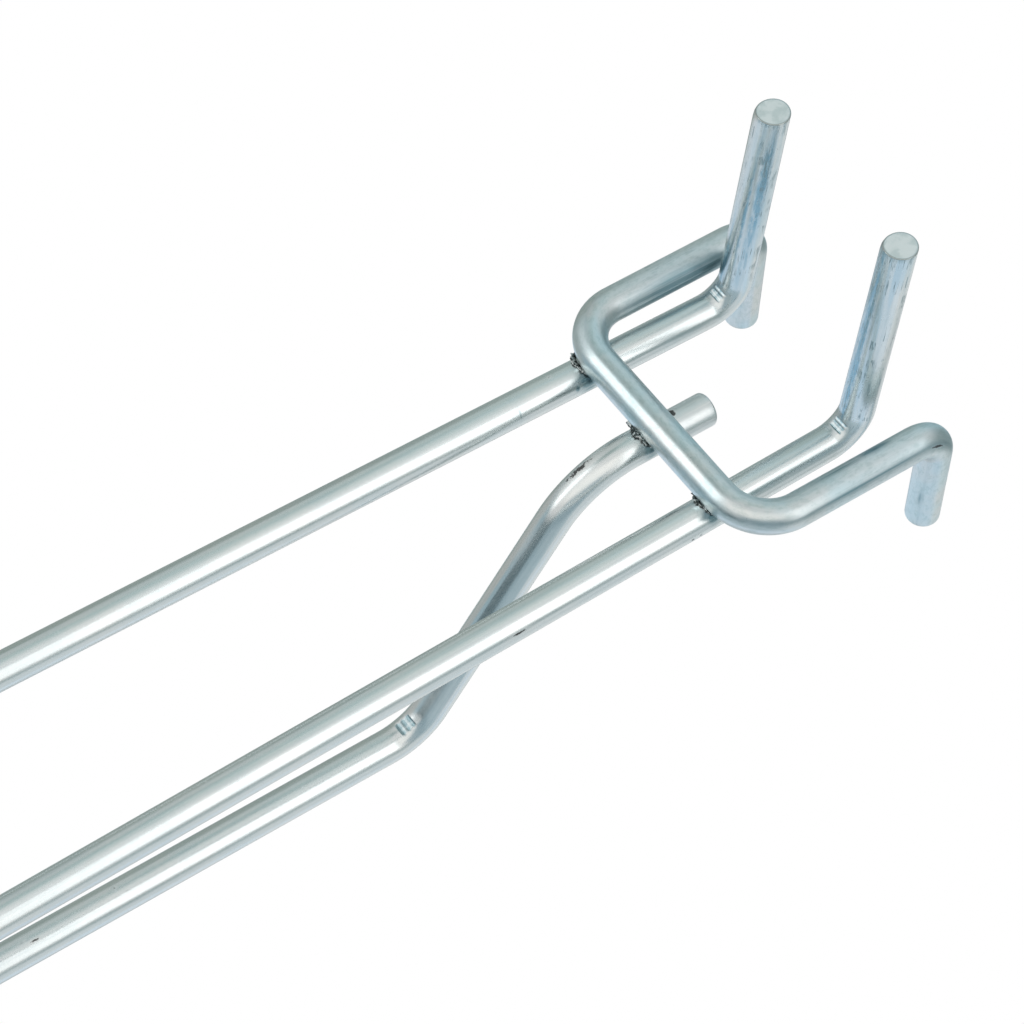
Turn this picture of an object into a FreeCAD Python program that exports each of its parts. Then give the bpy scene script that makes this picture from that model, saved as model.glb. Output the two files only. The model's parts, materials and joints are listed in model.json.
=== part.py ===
"""Double pegboard hook with an overarm: three bent steel wires, resistance-welded where they cross.

Frame: millimetres, +Z up as the hook hangs, +Y into the board. The origin is on the board's front face,
midway between the two peg holes, at the height of their centres. The prongs reach out along -Y.
"""
import FreeCAD, Part
import math
import os
import Sketcher

V = FreeCAD.Vector
doc = FreeCAD.newDocument("pegboard_hook")

# How a sketch numbers its own origin and the points of its lines, arcs and circles
ORIGIN = -1
START, FINISH, CENTRE = 1, 2, 3

# The rule for a point that lies on one of the sketch's own axes
NOUGHT = "0"

# Two points closer than this, in millimetres, are the same point
SAME_POINT = 0.01

# The driving dimensions, in millimetres and degrees
SIZES = {
    "wire_dia": ("6", "diameter of all three wires"),
    "prong_spacing": ("33.5", "between the prongs' axes where they cross the crossbar"),
    "prong_splay": ("0.9", "angle by which each prong opens towards the front"),
    "prong_length": ("140", "from the crossbar's axis to where the front starts to rise"),
    "loop_rise": ("30", "angle by which the front loop turns up"),
    "loop_rise_radius": ("10", "centre-line radius of that upward bend"),
    "loop_run": ("3", "straight stretch between that bend and the loop"),
    "tail_length": ("48", "from the prong's axis down to the tail's end"),
    "tail_bend_radius": ("6", "centre-line radius between prong and tail"),
    "bracket_depth": ("30", "from the crossbar's axis back to the tails' axes"),
    "bracket_corner_radius": ("9", "centre-line radius between crossbar and leg"),
    "weld_shift": ("1.75", "how far the prongs' middle is welded to the side of the pegs' middle"),
    "weld_set_down": ("1.2", "how far crossing wires sink into each other at a weld"),
    "peg_spacing": ("50", "between the pegs' axes, two pitches of a 25 mm board"),
    "peg_length": ("24.5", "from the leg's axis to the peg's tip"),
    "peg_lean": ("4.5", "angle by which the pegs lean away from the board"),
    "peg_bend_radius": ("6", "centre-line radius between leg and peg"),
    "board_gap": ("3", "between the tails' backs and the pegs' fronts, where the board goes"),
    "overarm_stub": ("12", "from the crossbar's axis to the overarm's end behind it"),
    "overarm_kick": ("14", "from the crossbar's axis to the corner where the overarm turns up"),
    "overarm_slope": ("61.5", "angle of the overarm's rising stretch"),
    "overarm_height": ("52.5", "between the overarm's axis and the prongs' plane"),
    "overarm_length": ("160", "from the crossbar's axis to the overarm's front end"),
    "overarm_lower_radius": ("17", "centre-line radius of the bend next to the weld"),
    "overarm_upper_radius": ("10", "centre-line radius of the bend at the top"),
    "sheared_edge": ("0.3", "edge break on the tails' sheared ends"),
    "tip_edge": ("0.5", "edge break on the pegs' tips and the overarm's ends"),
}

# The places that follow from them
PLACES = {
    "wire_radius": "Sizes.wire_dia / 2",
    "crossbar_y": "-(wire_radius + Sizes.bracket_depth)",
    "prong_x": "Sizes.prong_spacing / 2",
    "prong_z": "Sizes.wire_dia - Sizes.weld_set_down",
    "tail_end_z": "prong_z - Sizes.tail_length",
    "tail_x": "prong_x - Sizes.bracket_depth * tan(Sizes.prong_splay)",
    "tail_run": "Sizes.bracket_depth / cos(Sizes.prong_splay)",
    "rise_corner": "Sizes.prong_length + Sizes.loop_rise_radius * tan(Sizes.loop_rise / 2)",
    "rise_arm": "Sizes.loop_rise_radius * tan(Sizes.loop_rise / 2) + Sizes.loop_run",
    "rise_run": "rise_corner + rise_arm * cos(Sizes.loop_rise)",
    "rise_up": "rise_arm * sin(Sizes.loop_rise)",
    "loop_half": "prong_x + rise_run * sin(Sizes.prong_splay)",
    "loop_splay": "asin(sin(Sizes.prong_splay) * cos(Sizes.loop_rise))",
    "loop_tilt": "atan(tan(Sizes.loop_rise) / cos(Sizes.prong_splay))",
    "loop_lean": "90 deg - loop_tilt",
    "loop_turn": "90 deg + loop_splay",
    "loop_radius": "loop_half / cos(loop_splay)",
    "loop_reach": "loop_half * tan(loop_splay)",
    "loop_y": "crossbar_y - rise_run * cos(Sizes.prong_splay) - loop_reach * cos(loop_tilt)",
    "loop_z": "prong_z + rise_up + loop_reach * sin(loop_tilt)",
    "leg_join_y": "crossbar_y + Sizes.bracket_depth / 2",
    "peg_x": "Sizes.peg_spacing / 2",
    "peg_y": "Sizes.board_gap + wire_radius",
    "peg_tip_y": "peg_y + Sizes.peg_length * sin(Sizes.peg_lean)",
    "peg_tip_z": "Sizes.peg_length * cos(Sizes.peg_lean)",
    "stub_y": "crossbar_y + Sizes.overarm_stub",
    "kick_y": "crossbar_y - Sizes.overarm_kick",
    "overarm_corner_y": "kick_y - Sizes.overarm_height / tan(Sizes.overarm_slope)",
    "overarm_front_y": "crossbar_y - Sizes.overarm_length",
    "overarm_z": "prong_z + Sizes.overarm_height",
}


def fill_sheet(name, rows):
    """A spreadsheet with one aliased cell a row, its name before it and what it measures after it."""
    sheet = doc.addObject("Spreadsheet::Sheet", name)
    for row, (alias, content, note) in enumerate(rows, start=1):
        sheet.set(f"A{row}", alias)
        sheet.set(f"B{row}", content)
        sheet.setAlias(f"B{row}", alias)
        sheet.set(f"C{row}", note)
    doc.recompute()


fill_sheet("Sizes", [(alias, number, note) for alias, (number, note) in SIZES.items()])
fill_sheet("Places", [(alias, f"={rule}", "") for alias, rule in PLACES.items()])


def plane_of(body, role):
    """One of the body's own origin planes."""
    return next(feature for feature in body.Origin.OriginFeatures if feature.Role == role)


def new_body(label):
    """An empty body for one wire."""
    body = doc.addObject("PartDesign::Body", label)
    body.Label = label
    return body


def new_sketch(body, name, role, offset=None, turn=None):
    """A sketch on an origin plane, set off along the plane's axes and turned about one of them."""
    sketch = body.newObject("Sketcher::SketchObject", name)
    sketch.AttachmentSupport = [(plane_of(body, role), "")]
    sketch.MapMode = "FlatFace"
    if turn:
        axis, rule = turn
        sketch.AttachmentOffset = FreeCAD.Placement(V(), FreeCAD.Rotation(axis, value_of(rule)))
        sketch.setExpression("AttachmentOffset.Rotation.Angle", rule)
    for axis_name, rule in (offset or {}).items():
        sketch.setExpression(f"AttachmentOffset.Base.{axis_name}", rule)
    return sketch


def value_of(rule):
    """The number in the cell that a rule names, with a minus sign before the name or not."""
    sign = -1 if rule.startswith("-") else 1
    if rule == NOUGHT:
        return 0.0
    sheet, alias = rule.lstrip("-").split(".")
    found = doc.getObject(sheet).get(alias)
    return sign * float(getattr(found, "Value", found))


def dimension(sketch, name, rule, kind, *references):
    """A named dimension in a sketch, driven by an expression."""
    value = value_of(rule)
    if kind == "Angle":
        value = math.radians(value)
    index = sketch.addConstraint(Sketcher.Constraint(kind, *references, value))
    sketch.renameConstraint(index, name)
    sketch.setExpression(f"Constraints.{name}", rule)


def place_point(sketch, name, geometry, end, place):
    """Dimension a point of the sketch from its origin."""
    across, up = place
    dimension(sketch, f"{name}_across", across, "DistanceX", ORIGIN, START, geometry, end)
    dimension(sketch, f"{name}_up", up, "DistanceY", ORIGIN, START, geometry, end)


def add_wire_circle(sketch, middle):
    """A circle of the wire's own radius."""
    radius = "Places.wire_radius"
    circle = sketch.addGeometry(Part.Circle(middle, V(0, 0, 1), value_of(radius)), False)
    dimension(sketch, "wire", radius, "Radius", circle)
    return circle


def wire_section(body, name, role, centre, offset=None):
    """The wire's round section, in a plane square to where its path starts."""
    sketch = new_sketch(body, name, role, offset)
    middle = V(*(value_of(rule) for rule in centre), 0)
    circle = add_wire_circle(sketch, middle)
    place_point(sketch, "centre", circle, CENTRE, centre)
    return sketch


def bend(before, corner, after, radius):
    """The arc that rounds a corner, and whether it turns to the left."""
    arrive = (corner - before).normalize()
    leave = (after - corner).normalize()
    turn = arrive.getAngle(leave)
    reach = radius * math.tan(turn / 2)
    inward = (leave - arrive).normalize()
    middle = corner + inward * (radius / math.cos(turn / 2) - radius)
    arc = Part.Arc(corner - arrive * reach, middle, corner + leave * reach)
    return arc, arrive.cross(leave).z > 0


def wire_path(body, name, role, stops, radii, offset=None, turn=None):
    """A wire's centre line: straight runs from stop to stop, each inner stop rounded by its own bend."""
    sketch = new_sketch(body, name, role, offset, turn)
    points = [V(*(value_of(rule) for rule in stop), 0) for stop in stops]
    bends = [bend(*points[i:i + 3], value_of(radius)) for i, radius in enumerate(radii)]
    starts = points[:1] + [arc.EndPoint for arc, _ in bends]
    finishes = [arc.StartPoint for arc, _ in bends] + points[-1:]
    runs = [sketch.addGeometry(Part.LineSegment(*ends), False) for ends in zip(starts, finishes)]
    for i, ((arc, leftward), radius) in enumerate(zip(bends, radii)):
        curve = sketch.addGeometry(arc, False)
        entry, leaving = (START, FINISH) if leftward else (FINISH, START)
        sketch.addConstraint(Sketcher.Constraint("Tangent", runs[i], FINISH, curve, entry))
        sketch.addConstraint(Sketcher.Constraint("Tangent", curve, leaving, runs[i + 1], START))
        dimension(sketch, f"bend_{i}", radius, "Radius", curve)
        corner = sketch.addGeometry(Part.Point(points[i + 1]), True)
        sketch.addConstraint(Sketcher.Constraint("PointOnObject", corner, START, runs[i]))
        sketch.addConstraint(Sketcher.Constraint("PointOnObject", corner, START, runs[i + 1]))
        place_point(sketch, f"corner_{i}", corner, START, stops[i + 1])
    place_point(sketch, "start", runs[0], START, stops[0])
    place_point(sketch, "finish", runs[-1], FINISH, stops[-1])
    return sketch


def draw_wire(body, name, section, path):
    """The section carried along the path."""
    pipe = body.newObject("PartDesign::AdditivePipe", name)
    pipe.Profile = section
    pipe.Spine = (path, [])
    doc.recompute()
    return pipe


def mirror_sideways(body, name):
    """The other half of a wire that is the same on both sides."""
    mirrored = body.newObject("PartDesign::Mirrored", name)
    mirrored.TransformMode = "Whole shape"
    mirrored.MirrorPlane = (plane_of(body, "YZ_Plane"), [""])
    body.Tip = mirrored
    doc.recompute()
    return mirrored


def end_edges(feature, ends):
    """Names of the round edges whose centres are at the wire's ends."""
    names = []
    for number, edge in enumerate(feature.Shape.Edges, start=1):
        if not isinstance(edge.Curve, Part.Circle):
            continue
        middle = edge.Curve.Center
        if any(middle.distanceToPoint(end) < SAME_POINT for end in ends):
            names.append(f"Edge{number}")
    return names


def point_at(*place):
    """The point whose coordinates three rules give."""
    return V(*(value_of(rule) for rule in place))


def break_ends(body, name, base, ends, rule):
    """Bevel the edges of a wire's cut ends."""
    bevel = body.newObject("PartDesign::Chamfer", name)
    bevel.Base = (base, end_edges(base, ends))
    bevel.setExpression("Size", rule)
    body.Tip = bevel
    doc.recompute()
    return bevel


def make_prong_blank():
    """One wire: a tail, a prong, the rising front loop, the other prong and the other tail."""
    body = new_body("prong_blank")
    body.setExpression("Placement.Base.x", "Sizes.weld_shift")
    tail_axis = ("Places.tail_x", "-Places.wire_radius")
    section = wire_section(body, "tail_section", "XY_Plane", tail_axis, {"z": "Places.tail_end_z"})
    stops = [("Places.tail_run", "-Sizes.tail_length"), ("Places.tail_run", NOUGHT),
             ("-Places.rise_corner", NOUGHT), ("-Places.rise_run", "Places.rise_up")]
    radii = ["Sizes.tail_bend_radius", "Sizes.loop_rise_radius"]
    crossing = {"x": "Places.crossbar_y", "y": "Places.prong_z", "z": "Places.prong_x"}
    splay = (V(0, 1, 0), "Sizes.prong_splay")
    path = wire_path(body, "prong_path", "YZ_Plane", stops, radii, crossing, splay)
    draw_wire(body, "prong", section, path)
    make_half_loop(body)
    both = mirror_sideways(body, "both_prongs")
    tail_ends = [point_at(x, "-Places.wire_radius", "Places.tail_end_z")
                 for x in ("Places.tail_x", "-Places.tail_x")]
    break_ends(body, "sheared_ends", both, tail_ends, "Sizes.sheared_edge")
    return body


def make_half_loop(body):
    """Half of the front loop: the section at its foremost point, turned about the loop's tilted axis."""
    sketch = new_sketch(body, "loop_section", "YZ_Plane")
    tilt = math.radians(value_of("Places.loop_tilt"))
    middle = V(value_of("Places.loop_y"), value_of("Places.loop_z"), 0)
    outward = V(-math.cos(tilt), math.sin(tilt), 0) * value_of("Places.loop_radius")
    upright = V(math.sin(tilt), math.cos(tilt), 0) * value_of("Places.loop_radius")
    axis = sketch.addGeometry(Part.LineSegment(middle, middle + upright), True)
    spoke = sketch.addGeometry(Part.LineSegment(middle, middle + outward), True)
    circle = add_wire_circle(sketch, middle + outward)
    sketch.addConstraint(Sketcher.Constraint("Coincident", axis, START, spoke, START))
    sketch.addConstraint(Sketcher.Constraint("Coincident", circle, CENTRE, spoke, FINISH))
    sketch.addConstraint(Sketcher.Constraint("Perpendicular", axis, spoke))
    sketch.addConstraint(Sketcher.Constraint("Equal", axis, spoke))
    place_point(sketch, "middle", axis, START, ("Places.loop_y", "Places.loop_z"))
    dimension(sketch, "lean", "Places.loop_lean", "Angle", axis)
    dimension(sketch, "loop", "Places.loop_radius", "Distance", spoke)
    loop = body.newObject("PartDesign::Revolution", "half_loop")
    loop.Profile = sketch
    loop.ReferenceAxis = (sketch, ["Axis0"])
    loop.Reversed = True
    loop.setExpression("Angle", "Places.loop_turn")
    doc.recompute()
    return loop


def make_back_bracket():
    """One wire bent to a U: a crossbar, and two legs that pass through the board and turn up behind it."""
    body = new_body("back_bracket")
    half = "Places.peg_x"
    section = wire_section(body, "crossbar_section", "YZ_Plane", ("Places.crossbar_y", NOUGHT))
    stops = [(NOUGHT, "Places.crossbar_y"), (half, "Places.crossbar_y"), (half, "Places.leg_join_y")]
    path = wire_path(body, "crossbar_path", "XY_Plane", stops, ["Sizes.bracket_corner_radius"])
    draw_wire(body, "crossbar", section, path)
    section = wire_section(body, "leg_section", "XZ_Plane", (half, NOUGHT), {"z": "-Places.leg_join_y"})
    stops = [("Places.leg_join_y", NOUGHT), ("Places.peg_y", NOUGHT),
             ("Places.peg_tip_y", "Places.peg_tip_z")]
    path = wire_path(body, "peg_path", "YZ_Plane", stops, ["Sizes.peg_bend_radius"], {"z": half})
    draw_wire(body, "peg", section, path)
    both = mirror_sideways(body, "both_pegs")
    tips = [point_at(x, "Places.peg_tip_y", "Places.peg_tip_z") for x in (half, f"-{half}")]
    break_ends(body, "bevelled_tips", both, tips, "Sizes.tip_edge")
    return body


def make_overarm_blank():
    """One wire: a stub welded over the crossbar, a rising stretch, and an arm parallel to the prongs."""
    body = new_body("overarm_blank")
    body.setExpression("Placement.Base.x", "Sizes.weld_shift")
    stub_axis = (NOUGHT, "Places.prong_z")
    section = wire_section(body, "stub_section", "XZ_Plane", stub_axis, {"z": "-Places.stub_y"})
    stops = [("Places.stub_y", "Places.prong_z"), ("Places.kick_y", "Places.prong_z"),
             ("Places.overarm_corner_y", "Places.overarm_z"), ("Places.overarm_front_y", "Places.overarm_z")]
    radii = ["Sizes.overarm_lower_radius", "Sizes.overarm_upper_radius"]
    path = wire_path(body, "overarm_path", "YZ_Plane", stops, radii)
    arm = draw_wire(body, "overarm", section, path)
    ends = [point_at(NOUGHT, "Places.stub_y", "Places.prong_z"),
            point_at(NOUGHT, "Places.overarm_front_y", "Places.overarm_z")]
    break_ends(body, "bevelled_ends", arm, ends, "Sizes.tip_edge")
    return body


def seat_on(bracket, blank, label):
    """A wire as welded: it has a saddle wherever the bracket's crossbar is sunk into it."""
    seated = doc.addObject("Part::Cut", label)
    seated.Base = blank
    seated.Tool = bracket
    seated.Label = label
    return seated


back_bracket = make_back_bracket()
prong_wire = seat_on(back_bracket, make_prong_blank(), "prong_wire")
overarm_wire = seat_on(back_bracket, make_overarm_blank(), "overarm_wire")
nodes = [prong_wire, back_bracket, overarm_wire]
doc.recompute()

# Nothing is written unless every object came out whole
failed = [item.Name for item in doc.Objects if {"Invalid", "Error"} & set(item.State)]
if failed:
    raise RuntimeError(f"failed objects: {failed}")
for node in nodes:
    if node.Shape.isNull() or not node.Shape.isValid() or len(node.Shape.Solids) != 1:
        raise RuntimeError(f"{node.Label} is not one valid solid")

os.makedirs("parts", exist_ok=True)
for node in nodes:
    node.Shape.exportStep(f"parts/{node.Label}.step")
    box = node.Shape.BoundBox
    print(f"{node.Label}: {node.Shape.Volume:.0f} mm3, x {box.XMin:.1f} to {box.XMax:.1f}, "
          f"y {box.YMin:.1f} to {box.YMax:.1f}, z {box.ZMin:.1f} to {box.ZMax:.1f}")
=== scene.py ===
# %% [markdown]
# # A pegboard hook in bright zinc
# The hook is three bent lengths of the same round wire, welded where they cross and zinc-plated
# afterwards. The packed model gives the sizes and the places. This lesson adds what a camera sees on such
# a part: the marks of the bending tools, the ragged metal at the welds, the cut ends and the streaky
# shine of the plating.

# %% Load the packed hook
import json
from collections import namedtuple

import bpy
import numpy as np
from mathutils import Matrix, Quaternion, Vector


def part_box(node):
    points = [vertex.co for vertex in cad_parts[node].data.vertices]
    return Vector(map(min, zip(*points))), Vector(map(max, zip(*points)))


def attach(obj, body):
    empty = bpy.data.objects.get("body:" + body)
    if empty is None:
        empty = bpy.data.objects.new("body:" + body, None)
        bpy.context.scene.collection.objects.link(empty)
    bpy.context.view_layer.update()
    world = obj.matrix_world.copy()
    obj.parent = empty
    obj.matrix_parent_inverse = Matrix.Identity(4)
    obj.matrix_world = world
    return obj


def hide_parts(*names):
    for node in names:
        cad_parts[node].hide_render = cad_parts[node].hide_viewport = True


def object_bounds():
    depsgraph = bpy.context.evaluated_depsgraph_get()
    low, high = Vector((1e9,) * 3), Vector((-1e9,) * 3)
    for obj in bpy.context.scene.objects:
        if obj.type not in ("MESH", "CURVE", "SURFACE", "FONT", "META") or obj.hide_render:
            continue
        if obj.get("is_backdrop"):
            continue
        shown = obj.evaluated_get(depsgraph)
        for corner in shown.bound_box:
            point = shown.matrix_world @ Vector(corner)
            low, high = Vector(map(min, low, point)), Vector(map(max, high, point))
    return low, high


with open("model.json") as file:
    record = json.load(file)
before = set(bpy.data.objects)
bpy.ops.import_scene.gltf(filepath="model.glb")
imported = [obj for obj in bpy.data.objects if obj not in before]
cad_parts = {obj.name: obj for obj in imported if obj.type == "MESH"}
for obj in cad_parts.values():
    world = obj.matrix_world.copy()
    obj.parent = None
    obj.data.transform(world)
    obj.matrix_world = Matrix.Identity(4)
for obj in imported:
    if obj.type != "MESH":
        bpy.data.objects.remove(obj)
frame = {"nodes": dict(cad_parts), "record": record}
cad_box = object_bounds()
print("nodes:", sorted(frame["nodes"]))

# %% [markdown]
# ## Sizes
# Most sizes can be measured on the packed wires or read from the mounts in their record, so they are
# taken from there and can't drift apart from them. The bends leave no corner to measure, so their radii
# and the few angles are written here. At the end, the box of the finished pieces is compared with the
# packed one.

# %% Measure the packed wires
MM = 0.001
MOUNTS = {mount["name"]: mount for mount in frame["record"]["mounts"]}
prong_low, prong_high = (np.array(corner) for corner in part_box("prong_wire"))
bracket_low = np.array(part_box("back_bracket")[0])
overarm_low, overarm_high = (np.array(corner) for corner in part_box("overarm_wire"))

WIRE_RADIUS = MOUNTS["peg_right"]["dims"]["r_mm"] * MM
WELD_X, _, OVERARM_Z = MOUNTS["overarm_end"]["pos_m"]
CROSSBAR_Y = bracket_low[1] + WIRE_RADIUS
PRONG_Z = overarm_low[2] + WIRE_RADIUS
TAIL_Y = prong_high[1] - WIRE_RADIUS
print(f"wire {2 * WIRE_RADIUS / MM:.2f} mm, crossbar y {CROSSBAR_Y / MM:.2f}, prongs z {PRONG_Z / MM:.2f}")

# %% Name the bends
PRONG_SPACING = 33.5 * MM
PRONG_LENGTH = 140 * MM
PRONG_SPLAY = np.radians(0.9)
TAIL_BEND = 6 * MM
LOOP_RISE = np.radians(30)
RISE_BEND = 10 * MM
LOOP_RUN = 3 * MM
BRACKET_BEND = 9 * MM
PEG_BEND = 6 * MM
OVERARM_KICK = 14 * MM
OVERARM_SLOPE = np.radians(61.5)
LOWER_BEND = 17 * MM
UPPER_BEND = 10 * MM
SHEARED_EDGE = 0.15 * MM
TIP_EDGE = 0.5 * MM
print(f"prongs {PRONG_SPACING / MM:.1f} mm apart, overarm slope {np.degrees(OVERARM_SLOPE):.1f} degrees")

# %% [markdown]
# ## The camera
# The camera comes first, because every later choice is judged through it. The photograph looks at the
# hook from below and from its left front, with the picture turned over, so a roll of almost half a turn
# goes with the aim. A long lens keeps the wires nearly parallel, as they are there.

# %% Place the camera
CAMERA_PLACE = Vector((-0.31344, -0.36726, -0.58930))
CAMERA_AIM = Vector((0.00206, -0.06108, 0.00480))
CAMERA_ROLL = np.radians(-170.455)
LENS_MM, SENSOR_MM = 160.5, 36

camera_data = bpy.data.cameras.new("camera")
camera_data.lens, camera_data.sensor_width = LENS_MM, SENSOR_MM
camera = bpy.data.objects.new("camera", camera_data)
bpy.context.scene.collection.objects.link(camera)
camera.location = CAMERA_PLACE
camera.rotation_mode = "QUATERNION"
aim_turn = (CAMERA_AIM - CAMERA_PLACE).to_track_quat("-Z", "Y")
camera.rotation_quaternion = aim_turn @ Quaternion((0, 0, 1), CAMERA_ROLL)
bpy.context.scene.camera = camera
print(f"camera {(CAMERA_AIM - CAMERA_PLACE).length / MM:.0f} mm from the hook")

# %% [markdown]
# ## A bent wire as a formula
# A wire bender feeds straight wire and turns it round a pin, so its centre line is straight runs joined
# by arcs. Blender's curve objects could be bevelled, but then nothing could be pressed into the wire
# later. Here each run or arc is one row of a table, and a formula gives the point and the frame at any
# distance along it.

# %% Tabulate the runs and arcs of a wire
Line = namedtuple("Line", "begin point ahead inward curve lift length bends")
Bend = namedtuple("Bend", "begin end inward")
STEEP = 0.5
TRIAL_RUN = 20 * MM


def unit(vectors):
    """Vectors divided by their lengths."""
    return vectors / np.linalg.norm(vectors, axis=-1, keepdims=True)


def bent_line(stops, radii):
    """Rows of a wire that goes from stop to stop, with each inner stop rounded by an arc.

    An arc of radius r at a turn of angle a starts and ends r tan(a / 2) from its stop. lift holds the
    wire's reference direction as shares of the row's inward direction and of its cross direction. An arc
    leaves both shares alone, so the reference direction is carried along without twisting.
    """
    stops = np.asarray(stops, float)
    ways = unit(np.diff(stops, axis=0))
    turns = np.arccos(np.sum(ways[:-1] * ways[1:], axis=1))
    trims = np.concatenate(([0], radii * np.tan(turns / 2), [0]))
    spare = np.array([0.0, 0.0, 1.0]) if abs(ways[0, 2]) < STEEP else np.array([0.0, 1.0, 0.0])
    up = unit(spare - (spare @ ways[0]) * ways[0])
    rows, bends, along = [], [], 0.0
    for i, way in enumerate(ways):
        start = stops[i] + way * trims[i]
        run = np.linalg.norm(stops[i + 1] - stops[i]) - trims[i] - trims[i + 1]
        rows.append((along, start, way, up, 0.0, (1.0, 0.0)))
        along += run
        if i == len(turns):
            break
        inward = unit(ways[i + 1] - (ways[i + 1] @ way) * way)
        cross = np.cross(way, inward)
        lift = (up @ inward, up @ cross)
        rows.append((along, start + way * run, way, inward, 1 / radii[i], lift))
        up = lift[0] * unit((way @ ways[i + 1]) * inward - np.sin(turns[i]) * way) + lift[1] * cross
        bends.append(Bend(along, along + radii[i] * turns[i], unit(ways[i + 1] - way)))
        along += radii[i] * turns[i]
    return Line(*(np.array(column) for column in zip(*rows)), along, bends)


trial = bent_line(TRIAL_RUN * np.array([(0, 0, 0), (1, 0, 0), (1, 1, 0)]), np.array([TAIL_BEND]))
print(f"a corner of two {TRIAL_RUN / MM:.0f} mm runs takes {trial.length / MM:.2f} mm of wire")


# %% Follow a wire
def follow(line, along):
    """Points, directions and the two cross directions at distances along a wire.

    On a row of curvature k that starts at p with direction t and inward direction n, a distance d on:
    point = p + t sin(k d) / k + n (1 - cos(k d)) / k, and direction = t cos(k d) + n sin(k d).
    """
    row = np.clip(np.searchsorted(line.begin, along, side="right") - 1, 0, None)
    beyond = (along - line.begin[row])[:, None]
    curve = line.curve[row][:, None]
    ahead, inward = line.ahead[row], line.inward[row]
    cosine, sine = np.cos(curve * beyond), np.sin(curve * beyond)
    safe = np.where(curve > 0, curve, 1)
    forward = np.where(curve > 0, sine / safe, beyond)
    points = line.point[row] + ahead * forward + inward * (1 - cosine) / safe
    onward = ahead * cosine + inward * sine
    across = np.cross(ahead, inward)
    up = line.lift[row, :1] * (inward * cosine - ahead * sine) + line.lift[row, 1:] * across
    return points, onward, up, np.cross(onward, up)


print("that corner ends at", np.round(follow(trial, np.array([trial.length]))[0][0] / MM, 3), "mm")

# %% [markdown]
# ## The three routes
# The prong wire is the longest: a tail, a prong, the raised loop at the front, and the same again
# backwards. Its half circle at the front is two quarter bends that meet in the middle, so the radius
# follows from the width. The bracket and the overarm wire are plainer, with stops at the corners that the
# bends round off.

# %% Lay out the prong wire
MIRROR = np.array([-1.0, 1.0, 1.0])
splay_way = np.array([np.sin(PRONG_SPLAY), -np.cos(PRONG_SPLAY), 0])
rise_way = splay_way * np.cos(LOOP_RISE) + np.array([0, 0, np.sin(LOOP_RISE)])
rise_trim = RISE_BEND * np.tan(LOOP_RISE / 2)
crossing = np.array([PRONG_SPACING / 2, CROSSBAR_Y, PRONG_Z])
tail_corner = crossing - splay_way * (TAIL_Y - CROSSBAR_Y) / np.cos(PRONG_SPLAY)
tail_end = np.array([tail_corner[0], TAIL_Y, prong_low[2]])
rise_corner = crossing + splay_way * (PRONG_LENGTH + rise_trim)
loop_corner = rise_corner + rise_way * (LOOP_RUN + rise_trim + rise_corner[0]) / (1 - rise_way[0])
loop_bend = loop_corner[0] / np.tan(np.arccos(-rise_way[0]) / 2)
half = [tail_end, tail_corner, rise_corner, loop_corner]
stops = np.array(half + [corner * MIRROR for corner in reversed(half)]) + np.array([WELD_X, 0, 0])
half_bends = [TAIL_BEND, RISE_BEND, loop_bend]
prong_line = bent_line(stops, np.array(half_bends + half_bends[::-1]))
print(f"prong wire {prong_line.length / MM:.0f} mm long, loop radius {loop_bend / MM:.2f} mm")

# %% Lay out the bracket and the overarm
peg_axis = np.array(MOUNTS["peg_right"]["axis"])
peg_middle = np.array(MOUNTS["peg_right"]["pos_m"])
peg_corner = peg_middle - peg_axis * peg_middle[2] / peg_axis[2]
peg_reach = MOUNTS["peg_right"]["dims"]["length_mm"] * MM / 2 + TIP_EDGE
bracket_corner = np.array([peg_corner[0], CROSSBAR_Y, 0])
half = [peg_middle + peg_axis * peg_reach, peg_corner, bracket_corner]
stops = np.array(half + [corner * MIRROR for corner in reversed(half)])
bracket_line = bent_line(stops, np.array([PEG_BEND, BRACKET_BEND, BRACKET_BEND, PEG_BEND]))

kick_y = CROSSBAR_Y - OVERARM_KICK
top_y = kick_y - (OVERARM_Z - PRONG_Z) / np.tan(OVERARM_SLOPE)
stops = np.array([(WELD_X, overarm_high[1], PRONG_Z), (WELD_X, kick_y, PRONG_Z),
                  (WELD_X, top_y, OVERARM_Z), (WELD_X, overarm_low[1], OVERARM_Z)])
overarm_line = bent_line(stops, np.array([LOWER_BEND, UPPER_BEND]))
print(f"bracket {bracket_line.length / MM:.0f} mm, overarm {overarm_line.length / MM:.0f} mm")

# %% [markdown]
# ## Marks of the bending tools
# Where the wire was bent over a pin or held by a jaw, the steel is a little flattened. A flat pressed
# into a round bar to a depth d is a chord: at an angle a from its middle its surface lies at (r - d) /
# cos(a) from the axis. The flat ends in two short steps along the wire, and those steps are what catches
# the light.

# %% Press flats into a wire
Flat = namedtuple("Flat", "middle toward length depth ripple")
FLAT_STEP = 0.3 * MM
RIPPLE_PITCH = 1.5 * MM
LEAST_COSINE = 0.2
HOLLOW_EDGE = 0.3
RIDGE_UNSHADED = 0.55
TAIL_FLAT_DEPTH = 0.36 * MM
OVERARM_FLAT_DEPTH = 0.34 * MM
RIPPLE_DEPTH = 0.07 * MM


def smooth(share):
    """3 t^2 - 2 t^3 for t held between 0 and 1."""
    share = np.clip(share, 0, 1)
    return share * share * (3 - 2 * share)


def turn_to(line, along, toward):
    """Angle round the wire, at one place along it, that faces a direction."""
    _, _, up, side = follow(line, np.array([along]))
    return np.arctan2(side[0] @ toward, up[0] @ toward)


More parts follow.
